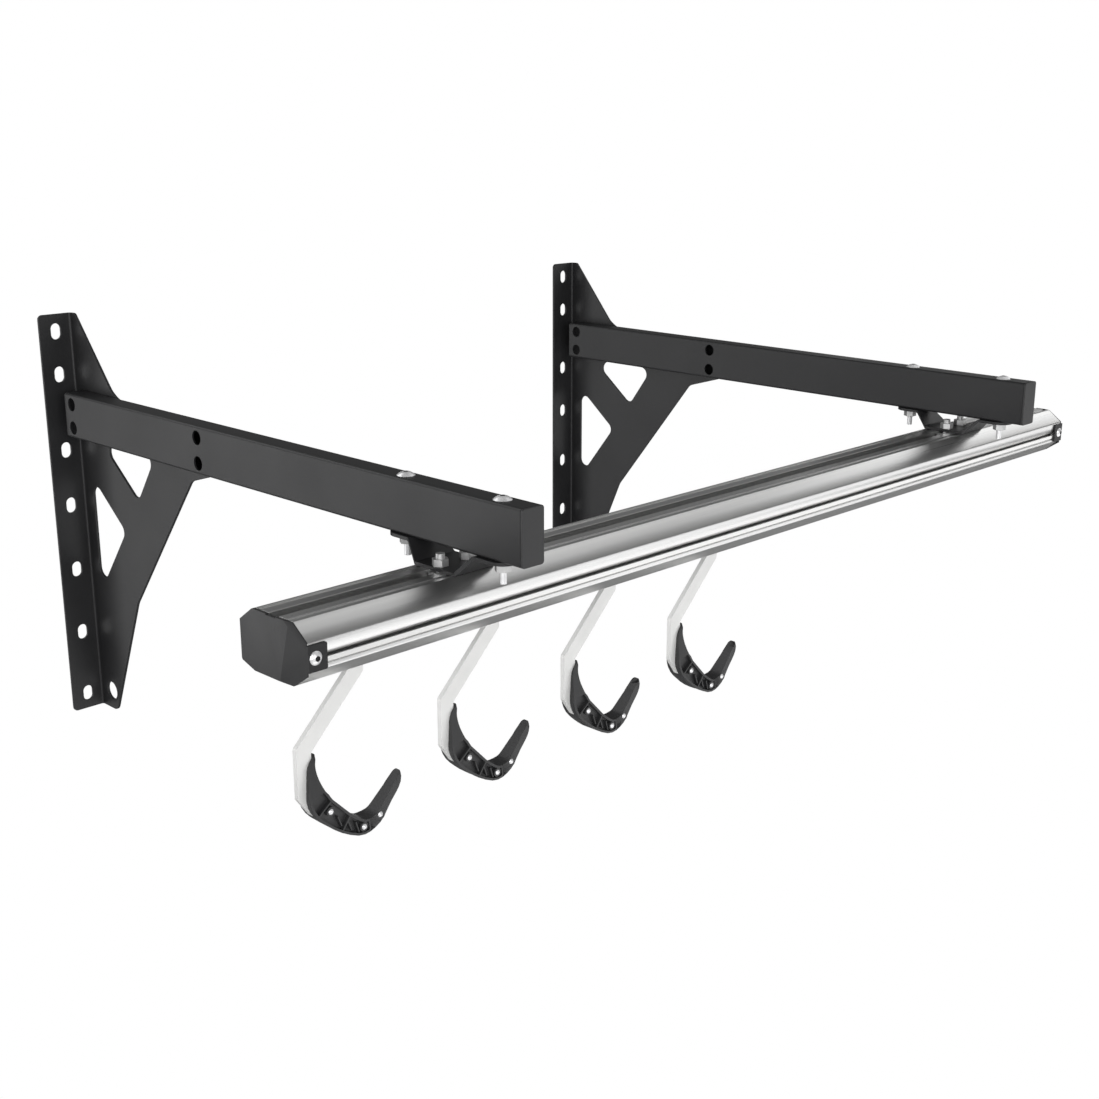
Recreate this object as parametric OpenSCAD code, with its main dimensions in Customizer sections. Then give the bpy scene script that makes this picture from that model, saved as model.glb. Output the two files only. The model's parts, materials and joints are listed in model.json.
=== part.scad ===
// Wall-mounted bike storage rail: two steel wall brackets with box-tube arms carry an
// aluminium rail, and four J-hooks on rollers glide along the channel under the rail.
// X runs along the rail, +Y into the wall (the wall plane is y = 0) and +Z up.
// The origin is on the wall plane at arm height, midway between the two bracket webs.

/* [Wall brackets] */
// Distance between the two bracket webs, two stud bays
bracket_span = 813; // [600:1:880]
// Thickness of the bent bracket sheet
sheet_t = 3; // [2:0.5:5]
// Width of the wall flange, with the web's thickness
flange_w = 41.3; // [38:0.1:60]
// Inside radius of the bend between flange and web
bend_r = 2.5; // [1:0.5:4]
// Height of the bracket above the arm's centre
plate_up = 110.4; // [100:0.1:140]
// Depth of the bracket below the arm's centre
plate_drop = 360; // [355:1:420]
// Radius of the flange's outer corners
flange_corner_r = 5; // [2:0.5:8]
// Reach of the web at its top edge
web_top_reach = 12; // [8:0.5:20]
// Reach at which the web's slope meets the arm's top
shoulder_reach = 84.6; // [60:0.1:110]
// Fillet where the slope runs into the arm's top
shoulder_r = 26; // [5:1:30]
// Web that carries on past the arm's front bolts
tongue_margin = 15; // [12:0.5:30]
// Radius of the tongue's corners
tongue_r = 8; // [2:0.5:10]
// Reach at which the brace leaves the tongue
toe_reach = 232.9; // [200:0.1:250]
// Depth of that point below the arm's centre
toe_drop = 45.6; // [40:0.1:60]
// Fillet where the brace leaves the tongue
toe_r = 14; // [4:1:20]
// Reach of the knee where the brace meets the lower leg
knee_reach = 102.2; // [95:0.1:120]
// Depth of that knee below the arm's centre
knee_drop = 210.6; // [200:0.1:230]
// Radius of the knee
knee_r = 20; // [5:1:40]
// Reach of the web at its foot
foot_reach = 35.7; // [30:0.1:45]
// Radius of the foot's front corner
foot_r = 10; // [4:0.5:14]

/* [Bracket windows] */
// Radius of the window corners
window_r = 10; // [4:0.5:12]
// Reach of the lower window's rear edge
low_window_rear = 22; // [16:0.5:28]
// Depth of the lower window's top corner
low_window_top = 75.8; // [70:0.1:85]
// Reach of the lower window's tip
low_window_tip_reach = 88.5; // [75:0.1:92]
// Depth of the lower window's tip
low_window_tip_drop = 129; // [120:0.5:140]
// Depth of the lower window's bottom corner
low_window_bottom = 212.5; // [190:0.5:225]
// Distance of the upper window's top edge below the arm
high_window_gap = 5; // [3:0.5:10]
// Reach of the upper window's rear corner
high_window_rear = 47.4; // [40:0.1:60]
// Reach of the upper window's front corner
high_window_front = 162.8; // [150:0.1:175]
// Reach of the upper window's lower corner
high_window_tip_reach = 121; // [110:0.5:130]
// Depth of the upper window's lower corner
high_window_tip_drop = 87.5; // [75:0.5:95]

/* [Wall slots] */
// Width of the wall slots
slot_w = 12; // [8:0.5:14]
// End to end length of the wall slots
slot_len = 18; // [16:0.5:24]
// Distance of the slots from the web
slot_inset = 18.5; // [15:0.5:24]
// Distance of the top slot below the bracket's top
slot_margin = 19.4; // [14:0.1:30]
// Pitch of the two top slots
slot_pitch_high = 48.5; // [40:0.5:60]
// Depth of the first slot below the arm's centre
slot_drop_arm = 44.6; // [36:0.1:55]
// Pitch from that slot to the next one
slot_pitch_arm = 65; // [50:0.5:75]
// Pitch of the four lowest slots
slot_pitch_low = 77.2; // [60:0.1:79]
// Diameter of the lock hole in the web's foot
lock_hole_d = 21.5; // [16:0.5:24]
// Reach of the lock hole
lock_hole_reach = 24; // [20:0.5:26]
// Height of the lock hole above the bracket's foot
lock_hole_up = 23; // [18:0.5:40]

/* [Arms] */
// Length of the arm tube
arm_len = 733; // [700:0.1:780]
// Width of the arm tube
arm_w = 25; // [24:0.5:40]
// Height of the arm tube
arm_h = 50; // [48:1:60]
// Wall of the arm tube
arm_wall = 2; // [1.5:0.25:3]
// Outside corner radius of the arm tube
arm_r = 3; // [3:0.5:6]
// Gap between the wall and the arm tube's rear end
arm_gap = 21.6; // [15:0.1:30]
// Distance of the rear arm bolts from the wall
rear_bolt_reach = 36; // [34:0.5:50]
// Distance of the front arm bolts from the wall
front_bolt_reach = 288; // [250:1:300]
// Distance between the two bolts of a pair
arm_bolt_pitch = 26.4; // [24:0.1:28]
// Diameter of the arm bolts
arm_bolt_d = 8; // [6:1:8]
// Diameter of the tool holes in the arm's outer wall
tool_hole_d = 15; // [14.5:0.5:17]
// Thickness of the arm's front cap
arm_cap_t = 2.5; // [1.5:0.5:4]
// Depth of the cap's plug in the tube
arm_plug_len = 14; // [8:1:20]

/* [Rail hangers] */
// Thickness of the hanger strip
hanger_t = 3; // [2.5:0.5:5]
// Drop of the hanger, from the arm to the rail's top
hanger_drop = 19; // [17:0.5:26]
// Length of the hanger along the arm
hanger_len = 151; // [145:1:170]
// Length of the hanger's flat base
hanger_base_len = 49; // [40:1:54]
// Width of the hanger at its ends
hanger_tip_w = 30; // [24:1:36]
// Flat left between the two rounded corners of each end
hanger_tip_flat = 2; // [1:0.5:8]
// Width of the hanger's base
hanger_base_w = 46; // [44:1:56]
// Distance between the two hanger bolts
hanger_bolt_pitch = 122; // [118:1:130]
// Diameter of the hanger bolts
hanger_bolt_d = 6; // [5:1:6]
// Diameter of the hanger bolts' domed heads
dome_d = 16.5; // [14:0.5:18]
// Height of the hanger bolts' domed heads
dome_h = 3.6; // [3:0.1:5]
// Distance between the two rail bolts of a hanger
rail_bolt_pitch = 31; // [28:0.5:34]
// Diameter of the rail bolts
rail_bolt_d = 8; // [6:1:8]

/* [Rail] */
// Length of the rail with its end caps
rail_len = 1200; // [1100:1:1400]
// Offset of the rail's middle from the brackets' middle
rail_offset = -8.5; // [-20:1:20]
// Distance of the rail's centre behind the arm tubes' front ends
rail_setback = 94.2; // [80:0.1:120]
// Width of the rail section
rail_w = 84.8; // [82:0.1:92]
// Height of the rail section
rail_h = 52; // [50:0.5:58]
// Width of the rail's top and bottom flats
rail_flat_w = 50; // [46:0.5:56]
// Height of the rail's upper chamfers
top_chamfer_h = 12.5; // [11:0.5:14]
// Height of the rail's lower chamfer towards the room
low_chamfer_h = 12; // [9:0.5:12]
// Height of the rail's lower chamfer towards the wall
back_chamfer_h = 5.5; // [5:0.5:12]
// Width of the T-slot's mouth on the top
t_slot_mouth = 13; // [9:0.5:14]
// Width of the T-slot's cavity
t_slot_w = 23; // [20:0.5:25]
// Height of the T-slot's cavity
t_slot_h = 9; // [8:0.5:11]
// Thickness of the T-slot's lips
t_slot_lip = 3; // [2:0.5:4]
// Height of the side slots' mouths
side_slot_mouth = 4; // [3:0.5:5]
// Depth of the side slots' centre below the rail's top
side_slot_drop = 25.9; // [24:0.1:27]
// Height of the side slots' cavity
side_slot_h = 10; // [8:0.5:11]
// Depth of the side slots' cavity
side_slot_w = 6; // [4:0.5:7]
// Thickness of the side slots' lips
side_slot_lip = 4.5; // [4:0.5:5.5]
// Radius of the curved lip over each side slot
side_lip_r = 12; // [10:0.5:16]
// Depth of that lip's widest point below the rail's top
side_lip_drop = 16; // [14:0.5:18]
// Width and depth of the fine groove under each side slot
side_groove = 0.8; // [0.4:0.1:1.2]
// Depth of that groove below the rail's top
side_groove_drop = 32.7; // [30:0.1:36]
// Width of the two shallow grooves on the rail's top
top_groove_w = 5; // [3:0.5:6]
// Depth of those grooves
top_groove_depth = 1; // [0.5:0.1:1.5]
// Distance of those grooves from the rail's middle
top_groove_offset = 19; // [17:0.5:20]
// Width of the trolley channel
channel_w = 38; // [36:0.5:42]
// Height of the trolley channel
channel_h = 20; // [19:0.5:22]
// Thickness of the channel's lips, which the rollers run on
channel_lip = 4; // [3:0.5:5]
// Width of the channel's mouth
channel_mouth = 10; // [9:0.5:11]
// Least wall of the rail's hollow chambers
rail_wall = 2.5; // [2:0.25:3]

/* [End caps] */
// Thickness of the end caps
cap_t = 3; // [2:0.5:6]
// Depth of the caps' notch over the T-slot
cap_notch = 1; // [1:0.5:3]
// Length of the cap's screw tab along the rail
tab_len = 17; // [14:0.5:22]
// Height of the cap's screw tab
tab_h = 22; // [18:0.5:24]
// Thickness of the cap's screw tab
tab_t = 2; // [1.5:0.5:3]
// Distance of the cap's screw from the cap's outer face
cap_screw_inset = 9; // [8:0.5:14]
// Diameter of the cap screw's head
cap_screw_head_d = 12; // [9:0.5:13]
// Diameter of the cap screw
cap_screw_d = 3.5; // [2.5:0.5:3.5]

/* [Hooks] */
// Distance of the first hook's load line from the rail's left end
first_hook_inset = 82; // [76:0.5:100]
// Distance from hook to hook
hook_pitch = 153.2; // [140:0.1:170]
// Thickness of the hook plate
hook_t = 5; // [4:0.5:6]
// Width of the hook plate's arm
hook_w = 14.5; // [12:0.5:18]
// Distance of the hook's back edge from its load line
hook_back = 66.2; // [62:0.1:72]
// Depth of the hook's upper bend below the arm's centre
hook_bend_drop = 161; // [158:0.5:172]
// Depth of the hook's lower bend below the arm's centre
hook_low_bend_drop = 205; // [198:0.5:212]
// Depth of the bowl's inside below the arm's centre
bowl_drop = 241.4; // [232:0.1:250]

/* [Trolleys] */
// Distance between a trolley's two axles
axle_pitch = 44; // [38:1:56]
// Diameter of the rollers
roller_d = 17.4; // [15:0.1:18]
// Width of the rollers
roller_w = 9; // [6:0.5:11]
// Diameter of the axles
axle_d = 6; // [5:0.5:7]
// Height of the hook plate's trolley bar
trolley_bar_h = 12; // [10:0.5:13]
// Length of bar past each axle
trolley_bar_margin = 11; // [8:0.5:14]

/* [Hook pads] */
// Width of the pad across the bowl
pad_w = 17; // [12:0.5:24]
// Width of the pad at its tip
pad_tip_w = 9.4; // [8.6:0.1:14]
// Distance behind the load line at which the pad starts to taper to its tip
pad_taper_start = 8; // [2:0.5:14]
// Distance before the load line at which that taper ends
pad_taper_end = 22; // [18:0.5:26]
// Height over which the pad narrows towards its upper end
pad_top_taper = 36; // [24:1:44]
// Thickness of pad over the hook plate's edges
pad_skin = 1.8; // [1.2:0.1:2.2]
// Diameter of the bosses round the pad screws
pad_boss_d = 10.6; // [8:0.2:12]
// Depth of the recess in the pad's sides
pad_recess = 1.5; // [0.5:0.25:2]
// Width of the rim round that recess
pad_rim = 2.2; // [1.5:0.1:3]
// Diameter of the pad screws' heads
pad_screw_head_d = 5.2; // [4:0.1:6]
// Diameter of the pad screws
pad_screw_d = 3; // [2:0.5:3]

/* [Hidden] */

// Fineness of round surfaces, and the overshoot of cutting solids
$fn = 48;
cut = 1;
// Clearances: bolts in their holes, plugs in their tubes, rollers on axles and over the rail
bolt_gap = 0.25;
nut_gap = 0.05;
plug_gap = 0.2;
axle_gap = 0.05;
roll_gap = 0.3;
plate_gap = 0.3;
// Points on each rounded corner and on each curved lip, and the half angle from which a corner is straight
corner_steps = 8;
lip_steps = 8;
straight_corner = 89.5;

black_steel = [0.13, 0.13, 0.14];
black_plastic = [0.16, 0.16, 0.17];
bright_steel = [0.78, 0.78, 0.79];
satin_aluminium = [0.66, 0.66, 0.67];
nylon_white = [0.86, 0.86, 0.84];

// Places worked out from the sizes
left_x = -bracket_span / 2;
right_x = bracket_span / 2;
arm_mid = -arm_w / 2;
arm_low = -arm_h / 2;
tongue_reach = front_bolt_reach + tongue_margin;
rail_reach = arm_gap + arm_len - rail_setback;
rail_top = arm_low - hanger_drop;
rail_bottom = rail_top - rail_h;
rail_left = rail_offset - rail_len / 2;
rail_right = rail_offset + rail_len / 2;
first_hook_x = rail_left + first_hook_inset;
t_slot_floor = rail_top - t_slot_lip - t_slot_h;
channel_floor = rail_bottom + channel_lip;
channel_top = channel_floor + channel_h;
side_slot_z = rail_top - side_slot_drop;
axle_z = channel_floor + roll_gap + roller_d / 2;
roller_start = channel_mouth / 2 + 1;
roller_end = roller_start + roller_w;
slot_heights = [
    plate_up - slot_margin,
    plate_up - slot_margin - slot_pitch_high,
    -slot_drop_arm,
    for (i = [0:3]) -slot_drop_arm - slot_pitch_arm - i * slot_pitch_low
];

// Round every corner of an outline. A corner is [x, y, radius].
function unit(v) = v / norm(v);
function near_turn(a) = a > 180 ? a - 360 : a < -180 ? a + 360 : a;
function heading(v) = atan2(v[1], v[0]);
function flat(p) = [p[0], p[1]];
function corner(before, here, after, r) =
    let (u = unit(before - here), v = unit(after - here))
    let (half = acos(max(-1, min(1, u * v))) / 2)
    r <= 0 || half > straight_corner ? [here] :
    let (centre = here + unit(u + v) * r / sin(half))
    let (start = heading(here + u * r / tan(half) - centre))
    let (end = heading(here + v * r / tan(half) - centre))
    let (turn = near_turn(end - start))
    [for (i = [0:corner_steps])
        centre + r * [cos(start + turn * i / corner_steps), sin(start + turn * i / corner_steps)]];
function rounded(pts) = [
    for (i = [0:len(pts) - 1])
    each corner(flat(pts[(i + len(pts) - 1) % len(pts)]), flat(pts[i]),
                flat(pts[(i + 1) % len(pts)]), pts[i][2])
];

// Outline drawn as [reach from the wall, height], made solid along X
module sideways(x, thickness) {
    translate([x, 0, 0]) rotate([90, 0, 90]) linear_extrude(thickness) mirror([1, 0]) children();
}
// Outline drawn as [x, height], made solid towards the room from the given reach
module frontways(reach, thickness) {
    translate([0, -reach, 0]) rotate([90, 0, 0]) linear_extrude(thickness) children();
}
// Cylinder along X, along Y (towards the room) and along Z (up)
module rod_x(d, x, len) {
    translate([x, 0, 0]) rotate([0, 90, 0]) cylinder(d = d, h = len);
}
module rod_y(d, reach, len) {
    translate([0, -reach, 0]) rotate([90, 0, 0]) cylinder(d = d, h = len);
}
module hexagon(across_flats) {
    circle(d = across_flats / cos(30), $fn = 6);
}
module soft_rect(w, h, r) {
    square([w - 2 * r, h], center = true);
    square([w, h - 2 * r], center = true);
    for (x = [-1, 1], y = [-1, 1]) translate([x * (w / 2 - r), y * (h / 2 - r)]) circle(r);
}

// Wall brackets

module bracket_section() {
    translate([sheet_t - flange_w, -sheet_t]) square([flange_w - sheet_t - bend_r, sheet_t]);
    translate([0, -tongue_reach]) square([sheet_t, tongue_reach - sheet_t - bend_r]);
    translate([-bend_r, -sheet_t - bend_r]) intersection() {
        difference() {
            circle(bend_r + sheet_t);
            circle(bend_r);
        }
        square(bend_r + sheet_t);
    }
}

module bracket_side_view() {
    polygon(rounded([
        [-cut, plate_up, 0],
        [web_top_reach, plate_up, 5],
        [shoulder_reach, arm_h / 2, shoulder_r],
        [tongue_reach, arm_h / 2, tongue_r],
        [tongue_reach, arm_low, tongue_r],
        [toe_reach, -toe_drop, toe_r],
        [knee_reach, -knee_drop, knee_r],
        [foot_reach, -plate_drop, foot_r],
        [-cut, -plate_drop, 0]
    ]));
}

module bracket_front_view() {
    polygon(rounded([
        [sheet_t - flange_w, -plate_drop, flange_corner_r],
        [sheet_t + cut, -plate_drop, 0],
        [sheet_t + cut, plate_up, 0],
        [sheet_t - flange_w, plate_up, flange_corner_r]
    ]));
}

module bracket_windows() {
    polygon(rounded([
        [low_window_rear, -low_window_top, window_r],
        [low_window_tip_reach, -low_window_tip_drop, window_r],
        [low_window_rear, -low_window_bottom, window_r]
    ]));
    polygon(rounded([
        [high_window_rear, arm_low - high_window_gap, window_r],
        [high_window_front, arm_low - high_window_gap, window_r],
        [high_window_tip_reach, -high_window_tip_drop, window_r]
    ]));
}

module wall_slots() {
    for (z = slot_heights) translate([-slot_inset, 0, z]) {
        for (s = [-1, 1]) translate([0, 0, s * (slot_len - slot_w) / 2])
            rod_y(slot_w, -cut, sheet_t + 2 * cut);
        translate([-slot_w / 2, -sheet_t - cut, -(slot_len - slot_w) / 2])
            cube([slot_w, sheet_t + 2 * cut, slot_len - slot_w]);
    }
}

module at_arm_bolts() {
    for (reach = [rear_bolt_reach, front_bolt_reach], s = [-1, 1])
        translate([0, -reach, s * arm_bolt_pitch / 2]) children();
}

module wall_bracket(x) {
    color(black_steel) translate([x, 0, 0]) difference() {
        intersection() {
            translate([0, 0, -plate_drop]) linear_extrude(plate_drop + plate_up) bracket_section();
            sideways(-flange_w, flange_w + sheet_t + cut) bracket_side_view();
            frontways(-cut, tongue_reach + 2 * cut) bracket_front_view();
        }
        sideways(-cut, sheet_t + 2 * cut) bracket_windows();
        wall_slots();
        at_arm_bolts() rod_x(arm_bolt_d + 2 * bolt_gap, -cut, sheet_t + 2 * cut);
        translate([0, -lock_hole_reach - sheet_t, lock_hole_up - plate_drop])
            rod_x(lock_hole_d, -cut, sheet_t + 2 * cut);
    }
}

// Arms, bolted beside the webs

module at_hanger_bolts() {
    for (s = [-1, 1])
        translate([arm_mid, -rail_reach - s * hanger_bolt_pitch / 2, 0]) children();
}

module arm_tube(x) {
    color(black_steel) translate([x, 0, 0]) difference() {
        frontways(arm_gap, arm_len) translate([arm_mid, 0]) difference() {
            soft_rect(arm_w, arm_h, arm_r);
            soft_rect(arm_w - 2 * arm_wall, arm_h - 2 * arm_wall, arm_r - arm_wall);
        }
        at_arm_bolts() {
            rod_x(tool_hole_d, -arm_w - cut, arm_wall + 2 * cut);
            rod_x(arm_bolt_d + 2 * bolt_gap, -arm_wall - cut, arm_wall + 2 * cut);
        }
        at_hanger_bolts() translate([0, 0, arm_low - cut])
            cylinder(d = hanger_bolt_d + 2 * bolt_gap, h = arm_h + 2 * cut);
    }
}

module arm_cap(x) {
    plug_w = arm_w - 2 * arm_wall - 2 * plug_gap;
    plug_h = arm_h - 2 * arm_wall - 2 * plug_gap;
    color(black_plastic) translate([x + arm_mid, 0, 0]) {
        frontways(arm_gap + arm_len, arm_cap_t) soft_rect(arm_w, arm_h, arm_r);
        frontways(arm_gap + arm_len - arm_plug_len, arm_plug_len) difference() {
            soft_rect(plug_w, plug_h, arm_r - arm_wall);
            square([plug_w - 2 * arm_wall, plug_h - 2 * arm_wall], center = true);
        }
    }
}

// Arm bolts: button heads inside the tube, nuts on the far side of the web

arm_head_h = 4.4;
arm_nut_h = 6.8;
arm_nut_flats = 1.625 * arm_bolt_d;
thread_past_nut = 2.5;

module arm_bolts(x) {
    head_d = tool_hole_d - 1.2;
    color(black_steel) translate([x, 0, 0]) at_arm_bolts() {
        rod_x(arm_bolt_d, -arm_wall - cut, arm_wall + cut + sheet_t + arm_nut_h + thread_past_nut);
        translate([-arm_wall, 0, 0]) rotate([0, -90, 0]) difference() {
            cylinder(d1 = head_d, d2 = head_d * 0.6, h = arm_head_h);
            translate([0, 0, arm_head_h - 2.6]) linear_extrude(2.6 + cut) hexagon(arm_bolt_d * 0.62);
        }
    }
}

module hex_nut(bolt_d, height, flats) {
    difference() {
        linear_extrude(height) hexagon(flats);
        translate([0, 0, -cut]) cylinder(d = bolt_d + 2 * nut_gap, h = height + 2 * cut);
    }
}

module arm_nuts(x) {
    color(bright_steel) translate([x + sheet_t, 0, 0]) at_arm_bolts()
        rotate([0, 90, 0]) hex_nut(arm_bolt_d, arm_nut_h, arm_nut_flats);
}

// Rail hangers: bent strips under the arms that hold the rail by its T-slot

module hanger_side_view() {
    half = hanger_len / 2;
    base = hanger_base_len / 2;
    rise = hanger_drop - hanger_t;
    miter = hanger_t * tan(22.5);
    polygon([
        [-half, arm_low], [-base - rise, arm_low], [-base, arm_low - rise],
        [base, arm_low - rise], [base + rise, arm_low], [half, arm_low],
        [half, arm_low - hanger_t], [base + rise + miter, arm_low - hanger_t],
        [base + miter, rail_top], [-base - miter, rail_top],
        [-base - rise - miter, arm_low - hanger_t], [-half, arm_low - hanger_t]
    ]);
}

hanger_waist_r = 8;

module hanger_top_view() {
    half = hanger_len / 2;
    base = hanger_base_len / 2;
    waist = base + hanger_drop;
    tip_r = (hanger_tip_w - hanger_tip_flat) / 2;
    polygon(rounded([
        [-hanger_tip_w / 2, -half, tip_r], [hanger_tip_w / 2, -half, tip_r],
        [hanger_tip_w / 2, -waist, hanger_waist_r], [hanger_base_w / 2, -base, hanger_waist_r],
        [hanger_base_w / 2, base, hanger_waist_r], [hanger_tip_w / 2, waist, hanger_waist_r],
        [hanger_tip_w / 2, half, tip_r], [-hanger_tip_w / 2, half, tip_r],
        [-hanger_tip_w / 2, waist, hanger_waist_r], [-hanger_base_w / 2, base, hanger_waist_r],
        [-hanger_base_w / 2, -base, hanger_waist_r], [-hanger_tip_w / 2, -waist, hanger_waist_r]
    ]));
}

module at_rail_bolts() {
    for (s = [-1, 1])
        translate([arm_mid + s * rail_bolt_pitch / 2, -rail_reach, 0]) children();
}

module rail_hanger(x) {
    color(black_steel) translate([x, 0, 0]) difference() {
        intersection() {
            translate([arm_mid, -rail_reach, 0])
                sideways(-hanger_base_w / 2 - cut, hanger_base_w + 2 * cut) hanger_side_view();
            translate([arm_mid, -rail_reach, rail_top - cut])
                linear_extrude(hanger_drop + 2 * cut) hanger_top_view();
        }
        at_hanger_bolts() translate([0, 0, rail_top])
            cylinder(d = hanger_bolt_d + 2 * bolt_gap, h = hanger_drop + cut);
        at_rail_bolts() translate([0, 0, rail_top - cut])
            cylinder(d = rail_bolt_d + 2 * bolt_gap, h = hanger_drop + cut);
    }
}

hanger_nut_h = 8;
hanger_nut_flats = 13;
hanger_bolt_end = 11;

module domed_head(d, h) {
    ball_r = (d * d / 4 + h * h) / (2 * h);
    rotate_extrude() intersection() {
        translate([0, h - ball_r]) circle(ball_r, $fn = 96);
        square([d / 2, h]);
    }
}

module hanger_bolts(x) {
    color(bright_steel) translate([x, 0, 0]) at_hanger_bolts() {
        translate([0, 0, arm_h / 2]) domed_head(dome_d, dome_h);
        translate([0, 0, arm_low - hanger_t - hanger_nut_h - hanger_bolt_end])
            cylinder(d = hanger_bolt_d,
                     h = arm_h + hanger_t + hanger_nut_h + hanger_bolt_end + dome_h / 2);
    }
}

module hanger_nuts(x) {
    color(bright_steel) translate([x, 0, arm_low - hanger_t - hanger_nut_h]) at_hanger_bolts()
        hex_nut(hanger_bolt_d, hanger_nut_h, hanger_nut_flats);
}

rail_nut_h = 6.5;
rail_nut_flats = 1.625 * rail_bolt_d;
t_head_h = 6;

module rail_bolts(x) {
    head_w = t_slot_w - 2;
    color(bright_steel) translate([x, 0, rail_top]) at_rail_bolts() {
        translate([-rail_bolt_d * 0.7, -head_w / 2, -t_slot_lip - t_head_h])
            cube([rail_bolt_d * 1.4, head_w, t_head_h]);
        translate([0, 0, -t_slot_lip - t_head_h / 2])
            cylinder(d = rail_bolt_d, h = t_head_h / 2 + t_slot_lip + hanger_drop - 5);
    }
}

module rail_nuts(x) {
    color(bright_steel) translate([x, 0, rail_top + hanger_t]) at_rail_bolts()
        hex_nut(rail_bolt_d, rail_nut_h, rail_nut_flats);
}

// The rail: one extrusion with a T-slot on top, a slot in each side and the trolley channel

// Curve from the end of the upper chamfer to the side slot
function side_lip() =
    let (middle = rail_top - side_lip_drop)
    let (from = asin((side_lip_drop - top_chamfer_h) / side_lip_r))
    let (to = asin((side_slot_z + side_slot_mouth / 2 - middle) / side_lip_r))
    [for (k = [0:lip_steps]) let (a = from + (to - from) * k / lip_steps)
        [rail_w / 2 - side_lip_r * (1 - cos(a)), middle + side_lip_r * sin(a), 0]];

module rail_outline() {
    half = rail_w / 2;
    flat_half = rail_flat_w / 2;
    polygon(rounded(concat(
        [[-flat_half, rail_top, 2], [flat_half, rail_top, 2]],
        side_lip(),
        [[half, side_slot_z - side_slot_mouth / 2, 0], [half, rail_bottom + low_chamfer_h, 2.5],
         [flat_half, rail_bottom, 2], [-flat_half, rail_bottom, 2],
         [-half, rail_bottom + back_chamfer_h, 2.5],
         [-half, side_slot_z - side_slot_mouth / 2, 0]],
        [for (k = [lip_steps:-1:0]) let (p = side_lip()[k]) [-p[0], p[1], 0]]
    )));
}

module rail_slots() {
    translate([-t_slot_mouth / 2, rail_top - t_slot_lip - cut])
        square([t_slot_mouth, t_slot_lip + 2 * cut]);
    translate([-t_slot_w / 2, t_slot_floor]) square([t_slot_w, t_slot_h]);
    translate([-channel_mouth / 2, rail_bottom - cut])
        square([channel_mouth, channel_lip + 2 * cut]);
    translate([-channel_w / 2, channel_floor]) square([channel_w, channel_h]);
    for (s = [0, 1]) mirror([s, 0]) {
        translate([top_groove_offset - top_groove_w / 2, rail_top - top_groove_depth])
            square([top_groove_w, top_groove_depth + cut]);
        translate([rail_w / 2 - side_groove, rail_top - side_groove_drop - side_groove / 2])
            square([side_groove + cut, side_groove]);
        translate([rail_w / 2 - side_slot_lip - cut, side_slot_z - side_slot_mouth / 2])
            square([side_slot_lip + 2 * cut, side_slot_mouth]);
        translate([rail_w / 2 - side_slot_lip - side_slot_w, side_slot_z - side_slot_h / 2])
            square([side_slot_w, side_slot_h]);
    }
}

module rail_chambers() {
    inner = max(t_slot_w, channel_w) / 2 + rail_wall;
    outer = rail_w / 2 - side_slot_lip - side_slot_w - rail_wall;
    shoulder_slope = top_chamfer_h / (rail_w / 2 - rail_flat_w / 2);
    top_inner = t_slot_w / 2 + rail_wall;
    top_z = rail_top - t_slot_lip;
    shoulder_z = side_slot_z + side_slot_h / 2 + rail_wall;
    corner_x = rail_flat_w / 2 - rail_wall / 2;
    edge_x = min(rail_w / 2 - rail_wall, corner_x + (top_z - shoulder_z) / shoulder_slope);
    for (s = [0, 1]) mirror([s, 0]) {
        polygon([
            [top_inner, top_z], [corner_x, top_z],
            [edge_x, top_z - (edge_x - corner_x) * shoulder_slope],
            [edge_x, shoulder_z], [top_inner, shoulder_z]
        ]);
        translate([inner, channel_floor])
            square([outer - inner, shoulder_z - rail_wall - channel_floor]);
    }
}

module rail() {
    color(satin_aluminium) translate([0, -rail_reach, 0])
        sideways(rail_left + cap_t, rail_len - 2 * cap_t) difference() {
            rail_outline();
            rail_slots();
            rail_chambers();
        }
}

// End caps with a screw tab that reaches round the rail's front

module at_side(side) {
    translate([side < 0 ? rail_left : rail_right, 0, 0]) mirror([side < 0 ? 0 : 1, 0, 0]) children();
}

front_face = rail_reach + rail_w / 2;
tab_mid_z = side_slot_z;

module end_cap(side) {
    color(black_plastic) at_side(side) difference() {
        union() {
            translate([0, -rail_reach, 0]) sideways(0, cap_t) difference() {
                rail_outline();
                translate([-t_slot_mouth / 2, rail_top - cap_notch])
                    square([t_slot_mouth, cap_notch + cut]);
            }
            frontways(front_face, tab_t) polygon(rounded([
                [0, tab_mid_z - tab_h / 2, 1], [cap_t + tab_len, tab_mid_z - tab_h / 2, 1.5],
                [cap_t + tab_len, tab_mid_z + tab_h / 2, 1.5], [0, tab_mid_z + tab_h / 2, 1]
            ]));
        }
        translate([cap_screw_inset, 0, tab_mid_z])
            rod_y(cap_screw_d + 2 * bolt_gap, front_face - cut, tab_t + 2 * cut);
    }
}

slot_nut_size = 8;
slot_nut_t = 3;

module cap_screw(side) {
    color(bright_steel) at_side(side) translate([cap_screw_inset, 0, tab_mid_z]) {
        translate([0, -front_face - tab_t, 0]) rotate([90, 0, 0]) difference() {
            domed_head(cap_screw_head_d, 3);
            translate([0, 0, 1.2]) linear_extrude(3) hexagon(4);
        }
        rod_y(cap_screw_d, front_face - side_slot_lip - slot_nut_t,
              side_slot_lip + slot_nut_t + tab_t + 1);
    }
}

module slot_nut(side) {
    color(bright_steel) at_side(side)
        translate([cap_screw_inset, -front_face + side_slot_lip, tab_mid_z]) difference() {
            translate([-slot_nut_size / 2, 0, -slot_nut_size / 2])
                cube([slot_nut_size, slot_nut_t, slot_nut_size]);
            rod_y(cap_screw_d + 2 * nut_gap, -slot_nut_t - cut, slot_nut_t + 2 * cut);
        }
}

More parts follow.
